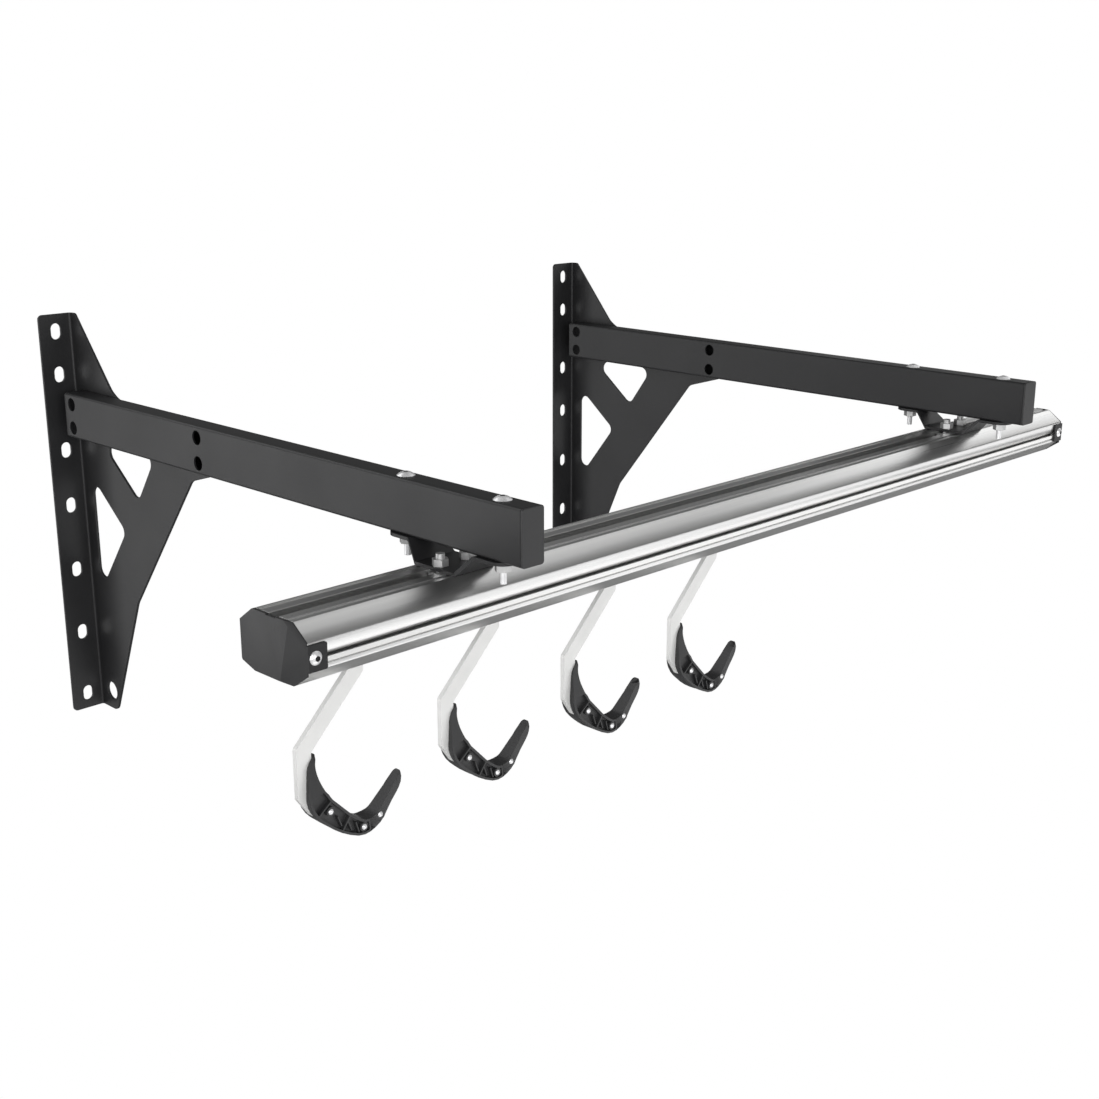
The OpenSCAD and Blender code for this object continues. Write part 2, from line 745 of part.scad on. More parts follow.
// Hooks: a flat steel J cut from plate, whose top bar carries two axles and four rollers

// Middle line of the pad: [x from the load line, height over the bowl's floor, half thickness]
pad_line = [
    [-48.6, 72, 0.8], [-52.3, 64.9, 2.7], [-53.5, 58.4, 3.8], [-52.9, 49.4, 5.1],
    [-51, 37.9, 7.9], [-49, 31.9, 9.5], [-44.5, 23.8, 10], [-35.5, 14.6, 9.8],
    [-23.4, 3.9, 8.6], [-8.7, -5, 7.1], [0.6, -6, 6], [11, -3.3, 5], [17, 1.6, 4.4],
    [23.8, 9.1, 4], [30.3, 15.4, 4.1], [34.5, 21.9, 4], [35.5, 28.9, 3.6]
];
// Pad screws: [x from the load line, height over the bowl's floor, half the pad's width there]
pad_screws_at = [[-38.9, 19.7, pad_w / 2], [-5.3, -5.4, pad_w / 2], [13.2, -0.9, 7]];
// Stations of the middle line where the steel meets the bowl, and where it ends
steel_from = 7;
steel_to = 14;

// Smooth curve through the stations, with two steps to each
curve_steps = 2;
function station(i) = pad_line[max(0, min(len(pad_line) - 1, i))];
function curve_at(i, t) =
    let (a = station(i - 1), b = station(i), c = station(i + 1), d = station(i + 2))
    0.5 * (2 * b + (c - a) * t + (2 * a - 5 * b + 4 * c - d) * t * t
           + (3 * b - a - 3 * c + d) * t * t * t);
pad_curve = [
    for (i = [0:len(pad_line) - 2], k = [0:curve_steps - 1]) curve_at(i, k / curve_steps),
    station(len(pad_line))
];
curve_end = len(pad_curve) - 1;
function curve_point(i) = pad_curve[max(0, min(curve_end, i))];
function curve_side(i, side, inset) =
    let (p = curve_point(i), u = unit(flat(curve_point(i + 1)) - flat(curve_point(i - 1))))
    flat(p) - [0, bowl_drop] + side * max(0.3, p[2] - inset) * [u[1], -u[0]];
function outer_edge(first, last, inset) = [for (i = [first:last]) curve_side(i, 1, inset)];
function inner_edge(first, last, inset) = [for (i = [last:-1:first]) curve_side(i, -1, inset)];

// Part of the pad's side view, drawn in from the bowl and from the outside
module pad_band(first, last, inner_inset, outer_inset) {
    polygon(concat(outer_edge(first, last, outer_inset), inner_edge(first, last, inner_inset)));
}

module pad_view() {
    tip = curve_point(curve_end);
    pad_band(0, curve_end, 0, 0);
    translate([tip[0], tip[1] - bowl_drop]) circle(tip[2]);
}

module hook_place(i) {
    translate([first_hook_x + (i - 1) * hook_pitch, -rail_reach, 0]) children();
}

module centred_plate(thickness) {
    rotate([90, 0, 0]) translate([0, 0, -thickness / 2]) linear_extrude(thickness) children();
}

function sharp(pts) = [for (p = pts) [p[0], p[1], 0]];

module hook_view() {
    first = steel_from * curve_steps;
    last = steel_to * curve_steps;
    neck_right = 4;
    neck_left = neck_right - hook_w;
    neck_top = hook_back - hook_bend_drop + neck_left;
    neck_low = hook_back - hook_bend_drop + neck_right - hook_w * sqrt(2);
    bar_half = axle_pitch / 2 + trolley_bar_margin;
    bar_low = axle_z - trolley_bar_h / 2;
    bar_high = axle_z + trolley_bar_h / 2;
    back = -hook_back;
    inside = hook_w - hook_back;
    heel_run = 12.2;
    heel_drop = 17;
    polygon(rounded(concat(
        [[-bar_half, bar_high, 3], [-bar_half, bar_low, 3], [neck_left, bar_low, 0],
         [neck_left, neck_top, 5], [back, -hook_bend_drop, 5], [back, -hook_low_bend_drop, 3],
         [back + heel_run, -hook_low_bend_drop - heel_drop, 5]],
        sharp(outer_edge(first, last, pad_skin)),
        sharp(inner_edge(first, last, pad_skin)),
        [[inside, -hook_low_bend_drop, 8], [inside, -hook_bend_drop - hook_w * tan(22.5), 4],
         [neck_right, neck_low, 4], [neck_right, bar_low, 0], [bar_half, bar_low, 3], [bar_half, bar_high, 3]]
    )));
}

module at_axles() {
    for (s = [-1, 1]) translate([s * axle_pitch / 2, 0, axle_z]) children();
}

module at_pad_screws() {
    for (p = pad_screws_at) translate([p[0], 0, p[1] - bowl_drop]) children();
}

module hook_plate(i) {
    color(bright_steel) hook_place(i) difference() {
        centred_plate(hook_t) hook_view();
        at_axles() rod_y(axle_d + 2 * nut_gap, -hook_t, 2 * hook_t);
        at_pad_screws() rod_y(pad_screw_d + 2 * bolt_gap, -hook_t, 2 * hook_t);
    }
}

// Pad: a moulded channel that the bowl of the hook sits in, narrower across at both ends

pad_high = pad_line[0][1] - bowl_drop;
pad_depth = 20;
pad_low = -bowl_drop - pad_depth;

module pad_top_view() {
    half = pad_w / 2;
    tip = pad_tip_w / 2;
    polygon([
        [-hook_back - cut, -half], [-pad_taper_start, -half], [pad_taper_end, -tip],
        [hook_back, -tip], [hook_back, tip], [pad_taper_end, tip],
        [-pad_taper_start, half], [-hook_back - cut, half]
    ]);
}

module pad_end_view() {
    half = pad_w / 2;
    narrow = hook_t / 2 + 0.8;
    taper_low = pad_high - pad_top_taper;
    polygon([
        [-narrow, pad_high + 2 * cut], [-half, taper_low], [-half, pad_low],
        [half, pad_low], [half, taper_low], [narrow, pad_high + 2 * cut]
    ]);
}

// Space in the pad for the steel, open towards the outside of the bowl
module pad_pocket() {
    open_side = 4;
    centred_plate(hook_t + 2 * plate_gap) {
        pad_band(steel_from * curve_steps, steel_to * curve_steps, pad_skin - 0.05, -open_side);
        hook_view();
    }
}

module pad_recesses() {
    first = 4 * curve_steps;
    last = 13 * curve_steps;
    reach = 10;
    for (s = [-1, 1]) translate([0, s * (pad_w / 2 - pad_recess + reach / 2), 0]) difference() {
        centred_plate(reach) pad_band(first, last, pad_rim, pad_rim);
        at_pad_screws() rod_y(pad_screw_head_d + 3, -reach, 2 * reach);
        for (k = [first:2 * curve_steps:last]) pad_rib(k, 2 * reach);
    }
}

// Rib across the recess at one point of the pad's curve
module pad_rib(k, reach) {
    a = curve_side(k, 1, -1);
    b = curve_side(k, -1, -1);
    along = 0.7 * unit([a[1] - b[1], b[0] - a[0]]);
    centred_plate(reach) polygon([a - along, b - along, b + along, a + along]);
}

// Cylinders round the pad screws, which end short of the pad's sides by a step
module pad_bosses(d, step) {
    for (p = pad_screws_at) translate([p[0], 0, p[1] - bowl_drop])
        rod_y(d, step - p[2], 2 * (p[2] - step));
}

module hook_pad(i) {
    color(black_plastic) hook_place(i) difference() {
        union() {
            intersection() {
                centred_plate(pad_w) pad_view();
                translate([0, 0, pad_low]) linear_extrude(hook_bend_drop) pad_top_view();
                translate([-hook_back, 0, 0]) rotate([90, 0, 90]) linear_extrude(2 * hook_back)
                    pad_end_view();
            }
            intersection() {
                pad_bosses(pad_boss_d, 0);
                centred_plate(pad_w + 2 * cut) pad_band(0, curve_end, 0.3, -8);
            }
        }
        pad_pocket();
        pad_recesses();
        at_pad_screws() rod_y(pad_screw_d + 2 * bolt_gap, -pad_w, 2 * pad_w);
    }
}

module hook_pad_screws(i) {
    color(bright_steel) hook_place(i) {
        pad_bosses(pad_screw_d, 0);
        for (p = pad_screws_at, s = [0, 1]) mirror([0, s, 0])
            translate([p[0], -p[2], p[1] - bowl_drop]) rotate([90, 0, 0])
                domed_head(pad_screw_head_d, 1.6);
    }
}

// Trolley parts

axle_head_t = 2;

module hook_axles(i) {
    color(bright_steel) hook_place(i) at_axles() {
        rod_y(axle_d, -roller_end - roll_gap - cut, 2 * (roller_end + roll_gap + cut));
        for (s = [-1, 1]) translate([0, -s * (roller_end + roll_gap + axle_head_t / 2), 0])
            rod_y(axle_d + 4, -axle_head_t / 2, axle_head_t);
        for (s = [-1, 1]) translate([0, -s * (hook_t / 2 + roller_start) / 2, 0])
            rod_y(axle_d + 3, -(roller_start - roll_gap - hook_t / 2) / 2,
                  roller_start - roll_gap - hook_t / 2);
    }
}

module hook_rollers(i, side) {
    color(nylon_white) hook_place(i) translate([side * axle_pitch / 2, 0, axle_z])
        for (s = [0, 1]) mirror([0, s, 0]) difference() {
            rod_y(roller_d, roller_start, roller_w);
            rod_y(axle_d + 2 * axle_gap, roller_start - cut, roller_w + 2 * cut);
        }
}

wall_bracket(left_x);  // left_wall_bracket
wall_bracket(right_x);  // right_wall_bracket
arm_tube(left_x);  // left_arm_tube
arm_tube(right_x);  // right_arm_tube
arm_cap(left_x);  // left_arm_cap
arm_cap(right_x);  // right_arm_cap
arm_bolts(left_x);  // left_arm_bolts
arm_bolts(right_x);  // right_arm_bolts
arm_nuts(left_x);  // left_arm_nuts
arm_nuts(right_x);  // right_arm_nuts
rail_hanger(left_x);  // left_rail_hanger
rail_hanger(right_x);  // right_rail_hanger
hanger_bolts(left_x);  // left_hanger_bolts
hanger_bolts(right_x);  // right_hanger_bolts
hanger_nuts(left_x);  // left_hanger_nuts
hanger_nuts(right_x);  // right_hanger_nuts
rail_bolts(left_x);  // left_rail_bolts
rail_bolts(right_x);  // right_rail_bolts
rail_nuts(left_x);  // left_rail_nuts
rail_nuts(right_x);  // right_rail_nuts
rail();
end_cap(-1);  // left_end_cap
end_cap(1);  // right_end_cap
cap_screw(-1);  // left_cap_screw
cap_screw(1);  // right_cap_screw
slot_nut(-1);  // left_slot_nut
slot_nut(1);  // right_slot_nut
hook_plate(1);  // hook_1_plate
hook_plate(2);  // hook_2_plate
hook_plate(3);  // hook_3_plate
hook_plate(4);  // hook_4_plate
hook_pad(1);  // hook_1_pad
hook_pad(2);  // hook_2_pad
hook_pad(3);  // hook_3_pad
hook_pad(4);  // hook_4_pad
hook_pad_screws(1);  // hook_1_pad_screws
hook_pad_screws(2);  // hook_2_pad_screws
hook_pad_screws(3);  // hook_3_pad_screws
hook_pad_screws(4);  // hook_4_pad_screws
hook_axles(1);  // hook_1_axles
hook_axles(2);  // hook_2_axles
hook_axles(3);  // hook_3_axles
hook_axles(4);  // hook_4_axles
hook_rollers(1, -1);  // hook_1_left_rollers
hook_rollers(2, -1);  // hook_2_left_rollers
hook_rollers(3, -1);  // hook_3_left_rollers
hook_rollers(4, -1);  // hook_4_left_rollers
hook_rollers(1, 1);  // hook_1_right_rollers
hook_rollers(2, 1);  // hook_2_right_rollers
hook_rollers(3, 1);  // hook_3_right_rollers
hook_rollers(4, 1);  // hook_4_right_rollers
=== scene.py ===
# %% [markdown]
# # A wall rail for storing bikes
# Two bent steel brackets are screwed to the wall studs and carry two box-tube arms. A wide
# aluminium rail lies across under the arms, and four J-shaped hooks glide along its channel.
# This lesson dresses the measured CAD frame. It keeps the frame's outside size and the places
# of its parts, and adds what a plain solid lacks, such as edge radii, moulded details, sockets
# and finishes.

# %% Load the CAD frame
import json
from math import atan2, cos, pi, radians, sin

import bmesh
import bpy
from mathutils import Matrix, Vector

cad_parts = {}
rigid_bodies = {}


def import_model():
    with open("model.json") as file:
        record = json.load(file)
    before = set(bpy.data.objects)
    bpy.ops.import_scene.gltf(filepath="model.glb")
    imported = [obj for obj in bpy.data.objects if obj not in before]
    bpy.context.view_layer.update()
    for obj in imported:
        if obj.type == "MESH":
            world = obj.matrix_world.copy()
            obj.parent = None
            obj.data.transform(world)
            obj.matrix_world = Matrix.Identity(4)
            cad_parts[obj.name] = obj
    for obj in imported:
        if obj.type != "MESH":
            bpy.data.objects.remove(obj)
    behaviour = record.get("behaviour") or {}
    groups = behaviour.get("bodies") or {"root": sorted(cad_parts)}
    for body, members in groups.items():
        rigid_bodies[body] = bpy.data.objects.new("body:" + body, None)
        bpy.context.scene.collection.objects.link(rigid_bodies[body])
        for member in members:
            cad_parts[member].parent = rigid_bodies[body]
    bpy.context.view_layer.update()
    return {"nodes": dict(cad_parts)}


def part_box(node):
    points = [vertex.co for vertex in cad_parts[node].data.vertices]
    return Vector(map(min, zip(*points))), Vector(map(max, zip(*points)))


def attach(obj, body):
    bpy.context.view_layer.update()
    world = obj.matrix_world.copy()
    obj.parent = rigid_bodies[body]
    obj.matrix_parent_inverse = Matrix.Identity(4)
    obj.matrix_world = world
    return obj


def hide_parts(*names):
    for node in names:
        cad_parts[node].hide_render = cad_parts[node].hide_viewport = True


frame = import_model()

nodes = frame["nodes"]

# %% [markdown]
# ## Camera
# The photograph looks at the rail from the left end, a little above it. The camera's place,
# turn and lens were solved from straight edges and bolt spacings of the real frame, so the
# render and the photograph can be compared point by point. A camera guessed by eye would make
# every later comparison doubtful.

# %% Camera
eye = bpy.data.cameras.new("Product camera")
eye.lens = 49.96
eye.sensor_width = 36.0
eye.clip_start = 0.05
eye.clip_end = 60.0
camera = bpy.data.objects.new("Product camera", eye)
camera.location = (-1.2472, -1.59765, 0.33108)
tilt_down, turn_right = 16.14, 45.20
camera.rotation_euler = (radians(90 - tilt_down), 0.0, radians(-turn_right))
bpy.context.scene.collection.objects.link(camera)
bpy.context.scene.camera = camera
print("camera at", [round(v, 3) for v in camera.location])

# %% [markdown]
# ## Finishes: effects shared by several materials
# Powder coat, moulded plastic and drawn metal all vary a little over their surface. Each such
# effect is a node group with named inputs, built once and placed in each material with its own
# values, which is easier to tune than the same five nodes copied into every material. A group
# gives out only values, and the shader stays in the material.

# %% Node group helpers
def new_group(name, inputs, outputs):
    group = bpy.data.node_groups.new(name, "ShaderNodeTree")
    for label, kind, value in inputs:
        socket = group.interface.new_socket(name=label, in_out="INPUT", socket_type=kind)
        if value is not None:
            socket.default_value = value
    for label in outputs:
        group.interface.new_socket(name=label, in_out="OUTPUT", socket_type="NodeSocketFloat")
    return group, group.nodes.new("NodeGroupInput"), group.nodes.new("NodeGroupOutput")


def noise_node(tree, detail, roughness):
    node = tree.nodes.new("ShaderNodeTexNoise")
    node.inputs["Detail"].default_value = detail
    node.inputs["Roughness"].default_value = roughness
    return node


# %% Surface grain group
grain_group, g_in, g_out = new_group(
    "Surface grain",
    [("Place", "NodeSocketVector", None), ("Grain per metre", "NodeSocketFloat", 900.0),
     ("Blotches per metre", "NodeSocketFloat", 14.0)],
    ["Grain", "Blotches"])
fine = noise_node(grain_group, detail=3.0, roughness=0.55)
broad = noise_node(grain_group, detail=2.0, roughness=0.5)
for noise, density, label in ((fine, "Grain per metre", "Grain"),
                              (broad, "Blotches per metre", "Blotches")):
    grain_group.links.new(g_in.outputs["Place"], noise.inputs["Vector"])
    grain_group.links.new(g_in.outputs[density], noise.inputs["Scale"])
    grain_group.links.new(noise.outputs["Fac"], g_out.inputs[label])
print("group", grain_group.name, "has", [s.name for s in grain_group.interface.items_tree])

# %% Drawn lines group
lines_group, l_in, l_out = new_group(
    "Drawn lines",
    [("Place", "NodeSocketVector", None), ("Squeeze", "NodeSocketVector", (1.0, 1.0, 1.0))],
    ["Lines", "Bands"])
squeeze = lines_group.nodes.new("ShaderNodeVectorMath")
squeeze.operation = "MULTIPLY"
hair = noise_node(lines_group, detail=4.0, roughness=0.6)
hair.inputs["Scale"].default_value = 1.0
band = noise_node(lines_group, detail=1.0, roughness=0.4)
band.inputs["Scale"].default_value = 0.08
lines_group.links.new(l_in.outputs["Place"], squeeze.inputs[0])
lines_group.links.new(l_in.outputs["Squeeze"], squeeze.inputs[1])
for noise, label in ((hair, "Lines"), (band, "Bands")):
    lines_group.links.new(squeeze.outputs[0], noise.inputs["Vector"])
    lines_group.links.new(noise.outputs["Fac"], l_out.inputs[label])
print("group", lines_group.name, "has", [s.name for s in lines_group.interface.items_tree])

# %% [markdown]
# ## Finishes: the materials
# Each material starts from one Principled shader. Constants such as metallic or specular sit on
# the shader's own sockets, and the groups only steer base colour, roughness and bump, so the
# same look can be baked for other programs.

# %% Material helpers
NOISE_LOW, NOISE_HIGH = 0.3, 0.7  # most values of a noise texture lie between these


def start_material(name, colour, metallic, specular=0.5):
    material = bpy.data.materials.new(name)
    material.use_nodes = True
    tree = material.node_tree
    shader = tree.nodes["Principled BSDF"]
    shader.inputs["Base Color"].default_value = (*colour, 1.0)
    shader.inputs["Metallic"].default_value = metallic
    shader.inputs["Specular IOR Level"].default_value = specular
    place = tree.nodes.new("ShaderNodeTexCoord")
    return material, tree, shader, place.outputs["Object"]


def use_group(tree, group, place, **values):
    node = tree.nodes.new("ShaderNodeGroup")
    node.node_tree = group
    tree.links.new(place, node.inputs["Place"])
    for label, value in values.items():
        node.inputs[label.replace("_", " ")].default_value = value
    return node


# %% Helpers that turn noise into roughness, colour and bump
def spread(tree, source, limits, socket):
    node = tree.nodes.new("ShaderNodeMapRange")
    node.inputs["From Min"].default_value = NOISE_LOW
    node.inputs["From Max"].default_value = NOISE_HIGH
    node.inputs["To Min"].default_value, node.inputs["To Max"].default_value = limits
    tree.links.new(source, node.inputs["Value"])
    tree.links.new(node.outputs["Result"], socket)


def tint(tree, source, dark, light, socket):
    ramp = tree.nodes.new("ShaderNodeValToRGB")
    stops = ramp.color_ramp.elements
    stops[0].position, stops[0].color = NOISE_LOW, (*dark, 1.0)
    stops[1].position, stops[1].color = NOISE_HIGH, (*light, 1.0)
    tree.links.new(source, ramp.inputs["Fac"])
    tree.links.new(ramp.outputs["Color"], socket)


def bump(tree, source, strength, distance, shader):
    node = tree.nodes.new("ShaderNodeBump")
    node.inputs["Strength"].default_value = strength
    node.inputs["Distance"].default_value = distance
    tree.links.new(source, node.inputs["Height"])
    tree.links.new(node.outputs["Normal"], shader.inputs["Normal"])


# %% Grained finish helper: coats, plastics and plated steel
GRAIN_STRENGTH = 0.35


def grained(name, dark, light, rough, grain, depth, specular=0.5, metallic=0.0, blotch=14.0):
    material, tree, shader, place = start_material(name, light, metallic, specular)
    group = use_group(tree, grain_group, place, Grain_per_metre=grain, Blotches_per_metre=blotch)
    tint(tree, group.outputs["Blotches"], dark, light, shader.inputs["Base Color"])
    spread(tree, group.outputs["Blotches"], rough, shader.inputs["Roughness"])
    bump(tree, group.outputs["Grain"], GRAIN_STRENGTH, depth, shader)
    return material


# %% Black finishes
powder_coat = grained(
    "Black powder coat", dark=(0.014, 0.014, 0.015), light=(0.019, 0.019, 0.020),
    rough=(0.38, 0.46), grain=1100.0, depth=0.00006, specular=0.35)
moulded_black = grained(
    "Moulded black plastic", dark=(0.026, 0.026, 0.027), light=(0.033, 0.033, 0.034),
    rough=(0.46, 0.56), grain=2400.0, depth=0.00005, specular=0.4)
pad_black = grained(
    "Grippy black pad plastic", dark=(0.020, 0.020, 0.021), light=(0.027, 0.027, 0.028),
    rough=(0.42, 0.52), grain=1900.0, depth=0.00006, specular=0.45)
black_bolts = grained(
    "Blackened bolts", dark=(0.012, 0.012, 0.013), light=(0.020, 0.020, 0.021),
    rough=(0.28, 0.36), grain=1500.0, depth=0.00003, specular=0.6)
# Smoother than the moulded plastic, and darker: the darker colour is painted shade for the end
# caps' leaned-back faces.
polished_shaded_black = grained(
    "Polished black plastic", dark=(0.014, 0.014, 0.015), light=(0.019, 0.019, 0.020),
    rough=(0.40, 0.46), grain=2400.0, depth=0.00002, specular=0.26)
# Near-black socket material: painted shade that stands for the dark of the deep hexagon recess.
socket_painted_shade = grained(
    "Oiled socket steel", dark=(0.020, 0.020, 0.021), light=(0.050, 0.050, 0.052),
    rough=(0.40, 0.55), grain=1600.0, depth=0.00002, specular=0.4)
print("black finishes:", [m.name for m in (powder_coat, moulded_black, pad_black, black_bolts,
                                           polished_shaded_black, socket_painted_shade)])

# %% Plated steel and nylon
zinc = grained(
    "Zinc plated steel", dark=(0.80, 0.80, 0.81), light=(0.90, 0.90, 0.91),
    rough=(0.26, 0.36), grain=1600.0, depth=0.00002, metallic=0.45, blotch=90.0)
dull_zinc = grained(
    "Dull zinc nuts", dark=(0.42, 0.42, 0.42), light=(0.58, 0.58, 0.58),
    rough=(0.30, 0.42), grain=1600.0, depth=0.00002, metallic=0.6, blotch=90.0)
hook_steel = grained(
    "Satin zinc hook steel", dark=(0.68, 0.68, 0.67), light=(0.75, 0.75, 0.74),
    rough=(0.44, 0.52), grain=1400.0, depth=0.00002, metallic=0.25, blotch=30.0)
nylon = grained(
    "White nylon", dark=(0.72, 0.71, 0.68), light=(0.80, 0.79, 0.76),
    rough=(0.34, 0.42), grain=900.0, depth=0.00003)
print("pale finishes:", [m.name for m in (zinc, dull_zinc, hook_steel, nylon)])


# %% Drawn aluminium, for the rail
LINE_STRENGTH = 0.3


def drawn_metal(name, dark, light, rough, squeeze_by, depth):
    material, tree, shader, place = start_material(name, light, metallic=1.0)
    group = use_group(tree, lines_group, place, Squeeze=squeeze_by)
    tint(tree, group.outputs["Bands"], dark, light, shader.inputs["Base Color"])
    spread(tree, group.outputs["Lines"], rough, shader.inputs["Roughness"])
    bump(tree, group.outputs["Lines"], LINE_STRENGTH, depth, shader)
    return material


satin_aluminium = drawn_metal(
    "Satin drawn aluminium", dark=(0.66, 0.66, 0.66), light=(0.76, 0.76, 0.75),
    rough=(0.27, 0.33), squeeze_by=(1.2, 1500.0, 1500.0), depth=0.000004)
print("rail finish:", satin_aluminium.name)

# %% [markdown]
# ## Edge radii on the CAD pieces
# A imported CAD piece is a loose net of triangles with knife-sharp edges. Real sheet, tube and
# extrusion have small radii that catch a thin line of light, which is much of what tells metal
# from cardboard. A copy of each piece is merged, its flat triangles are joined into faces, and
# a Bevel modifier rounds what is sharper than a chosen angle. The CAD mesh itself stays as it
# is, hidden and replaced by its copy.

# %% Helpers that copy a CAD mesh and finish the copy
WELD = 1e-6  # points closer than this become one point (all lengths are in metres)


def merged_copy(node):
    shape = bmesh.new()
    shape.from_mesh(nodes[node].data)
    bmesh.ops.remove_doubles(shape, verts=shape.verts, dist=WELD)
    return shape


def join_flat(shape, degrees=0.6):
    bmesh.ops.dissolve_limit(shape, angle_limit=radians(degrees), use_dissolve_boundaries=False,
                             verts=shape.verts, edges=shape.edges, delimit=set())


def finished_mesh(shape, name, crisp):
    mesh = bpy.data.meshes.new(name)
    shape.to_mesh(mesh)
    shape.free()
    for face in mesh.polygons:
        face.use_smooth = True
    mesh.set_sharp_from_angle(angle=radians(crisp))
    return mesh


# %% Helpers that add a piece in place of a CAD node
def body_of_node(node):
    if not node.startswith("hook_"):
        return "wall_frame"
    if node.endswith("_rollers"):
        return node.replace("_rollers", "_wheels")
    return node[:len("hook_1")]


def add_piece(node, mesh, material):
    piece = bpy.data.objects.new(mesh.name, mesh)
    bpy.context.scene.collection.objects.link(piece)
    mesh.materials.clear()  # this also sets every face back to the first material
    mesh.materials.append(material)
    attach(piece, body_of_node(node))
    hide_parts(node)
    return piece


def round_edges(piece, label, radius, segments, degrees):
    edge = piece.modifiers.new(label, "BEVEL")
    edge.width = radius
    edge.segments = segments
    edge.limit_method = "ANGLE"
    edge.angle_limit = radians(degrees)
    edge.harden_normals = True


# %% Dressing helper
def dress(node, material, radius, segments=2, angle=32.0, crisp=40.0, reshape=None):
    shape = merged_copy(node)
    if reshape:
        reshape(shape)
    join_flat(shape)
    piece = add_piece(node, finished_mesh(shape, node + "_dressed", crisp), material)
    round_edges(piece, "Edge radius", radius, segments, angle)
    return piece


# %% [markdown]
# ## Brackets, arms and hangers
# The bracket is one bent sheet, and its tongue runs forwards behind the arm. In the photograph
# nothing of the tongue shows above the arm, so on the copy its top is lowered a little. Two
# ramps, one forwards and one upwards, fade the move in, so that no kink shows where it starts.

# %% Lower the bracket's tongue
TONGUE_DROP = 0.0022
TONGUE_FORWARD, FORWARD_RAMP = 0.085, 0.011  # out from the wall
TONGUE_HEIGHT, HEIGHT_RAMP = 0.018, 0.007  # above the arm's middle


def share(value, start, length):
    """0 up to the start, 1 past the length, and evenly rising in between."""
    return min(1.0, max(0.0, (value - start) / length))


def lower_tongue(shape):
    for v in shape.verts:
        forward = share(-v.co.y, TONGUE_FORWARD, FORWARD_RAMP)
        height = share(v.co.z, TONGUE_HEIGHT, HEIGHT_RAMP)
        v.co.z -= TONGUE_DROP * forward * height


# %% Dress the wall brackets, arms, hangers and their small parts
SIDES = ("left", "right")

for side in SIDES:
    dress(f"{side}_wall_bracket", powder_coat, 0.0007, reshape=lower_tongue)
    dress(f"{side}_arm_tube", powder_coat, 0.0005)
    dress(f"{side}_rail_hanger", powder_coat, 0.0009)
    dress(f"{side}_arm_cap", moulded_black, 0.0010, segments=3)
    for part in ("arm_bolts", "arm_nuts"):
        dress(f"{side}_{part}", black_bolts, 0.0003)
    for part in ("hanger_nuts", "rail_bolts", "rail_nuts"):
        dress(f"{side}_{part}", dull_zinc, 0.0003)
    dress(f"{side}_slot_nut", zinc, 0.0003)

# %% [markdown]
# ## Button-head bolts
# The bolts on top of the arms and the screws of the end caps have low domed heads with a
# hexagon socket. Such a head is a turned part, so it grows ring by ring from the floor of its
# socket: each extrusion of the open edge takes a new radius and height. One closed skin comes
# out, with no boolean cut that could leave slivers round the socket.

# %% Turned part helper
ROUND_STEPS = 48
HEX_SECTOR = pi / 3


def turned(shape, rings):
    start = bmesh.ops.create_circle(shape, cap_ends=True, segments=ROUND_STEPS, radius=1.0)
    loop = start["verts"]
    edges = list(dict.fromkeys(e for v in loop for e in v.link_edges if len(e.link_faces) == 1))
    made = list(loop)
    for step, (radius, height, hexagon) in enumerate(rings):
        if step:
            grown = bmesh.ops.extrude_edge_only(shape, edges=edges)["geom"]
            loop = [g for g in grown if isinstance(g, bmesh.types.BMVert)]
            edges = [g for g in grown if isinstance(g, bmesh.types.BMEdge)
                     and all(v in loop for v in g.verts)]
            made += loop
        for v in loop:
            turn = atan2(v.co.y, v.co.x)
            off_flat = (turn + HEX_SECTOR / 2) % HEX_SECTOR - HEX_SECTOR / 2
            reach = radius / cos(off_flat) if hexagon else radius
            v.co = Vector((reach * cos(turn), reach * sin(turn), height))
    bmesh.ops.contextual_create(shape, geom=edges)
    return made


# %% Button head helper
DOME_RINGS = 9
SOCKET_RIM = 1.22  # the dome starts at this many times the socket's size
MOUTH_SINK = 0.10  # the socket's mouth lies this part of the dome's height below its top


def button_rings(head_r, shank_end, dome, socket, depth, shank_r):
    ball = (head_r ** 2 + dome ** 2) / (2 * dome)  # radius of the ball the dome is a slice of
    rim = socket * SOCKET_RIM
    rings = [(socket, dome - depth, True), (socket, dome - MOUTH_SINK * dome, True)]
    for k in range(DOME_RINGS):
        out = rim + (head_r - rim) * k / (DOME_RINGS - 1)
        rings.append((out, (ball ** 2 - out ** 2) ** 0.5 - ball + dome, False))
    return rings + [(shank_r, 0.0, False), (shank_r, shank_end, False)]


# %% Socket bolt helper
def socket_bolt(node, places, rings, turn):
    shape = bmesh.new()
    floors = set()
    for centre in places:
        made = turned(shape, rings)
        floors.update(made[:ROUND_STEPS])
        bmesh.ops.rotate(shape, verts=made, cent=(0.0, 0.0, 0.0), matrix=turn)
        bmesh.ops.translate(shape, verts=made, vec=centre)
    bmesh.ops.recalc_face_normals(shape, faces=shape.faces)
    shaded_socket_faces = [int(any(v in floors for v in f.verts)) for f in shape.faces]
    mesh = finished_mesh(shape, node + "_socketed", crisp=35.0)
    add_piece(node, mesh, zinc)
    # The faces round each socket's floor take this painted socket shade as a second material.
    mesh.materials.append(socket_painted_shade)
    for face in mesh.polygons:
        face.material_index = shaded_socket_faces[face.index]


# %% Arm-top bolts and end-cap screws
ARM_BOLT = {"dome": 0.0036, "socket": 0.0021, "depth": 0.0028, "shank_r": 0.0030}
CAP_SCREW = {"dome": 0.0030, "socket": 0.0022, "depth": 0.0026, "shank_r": 0.00175}

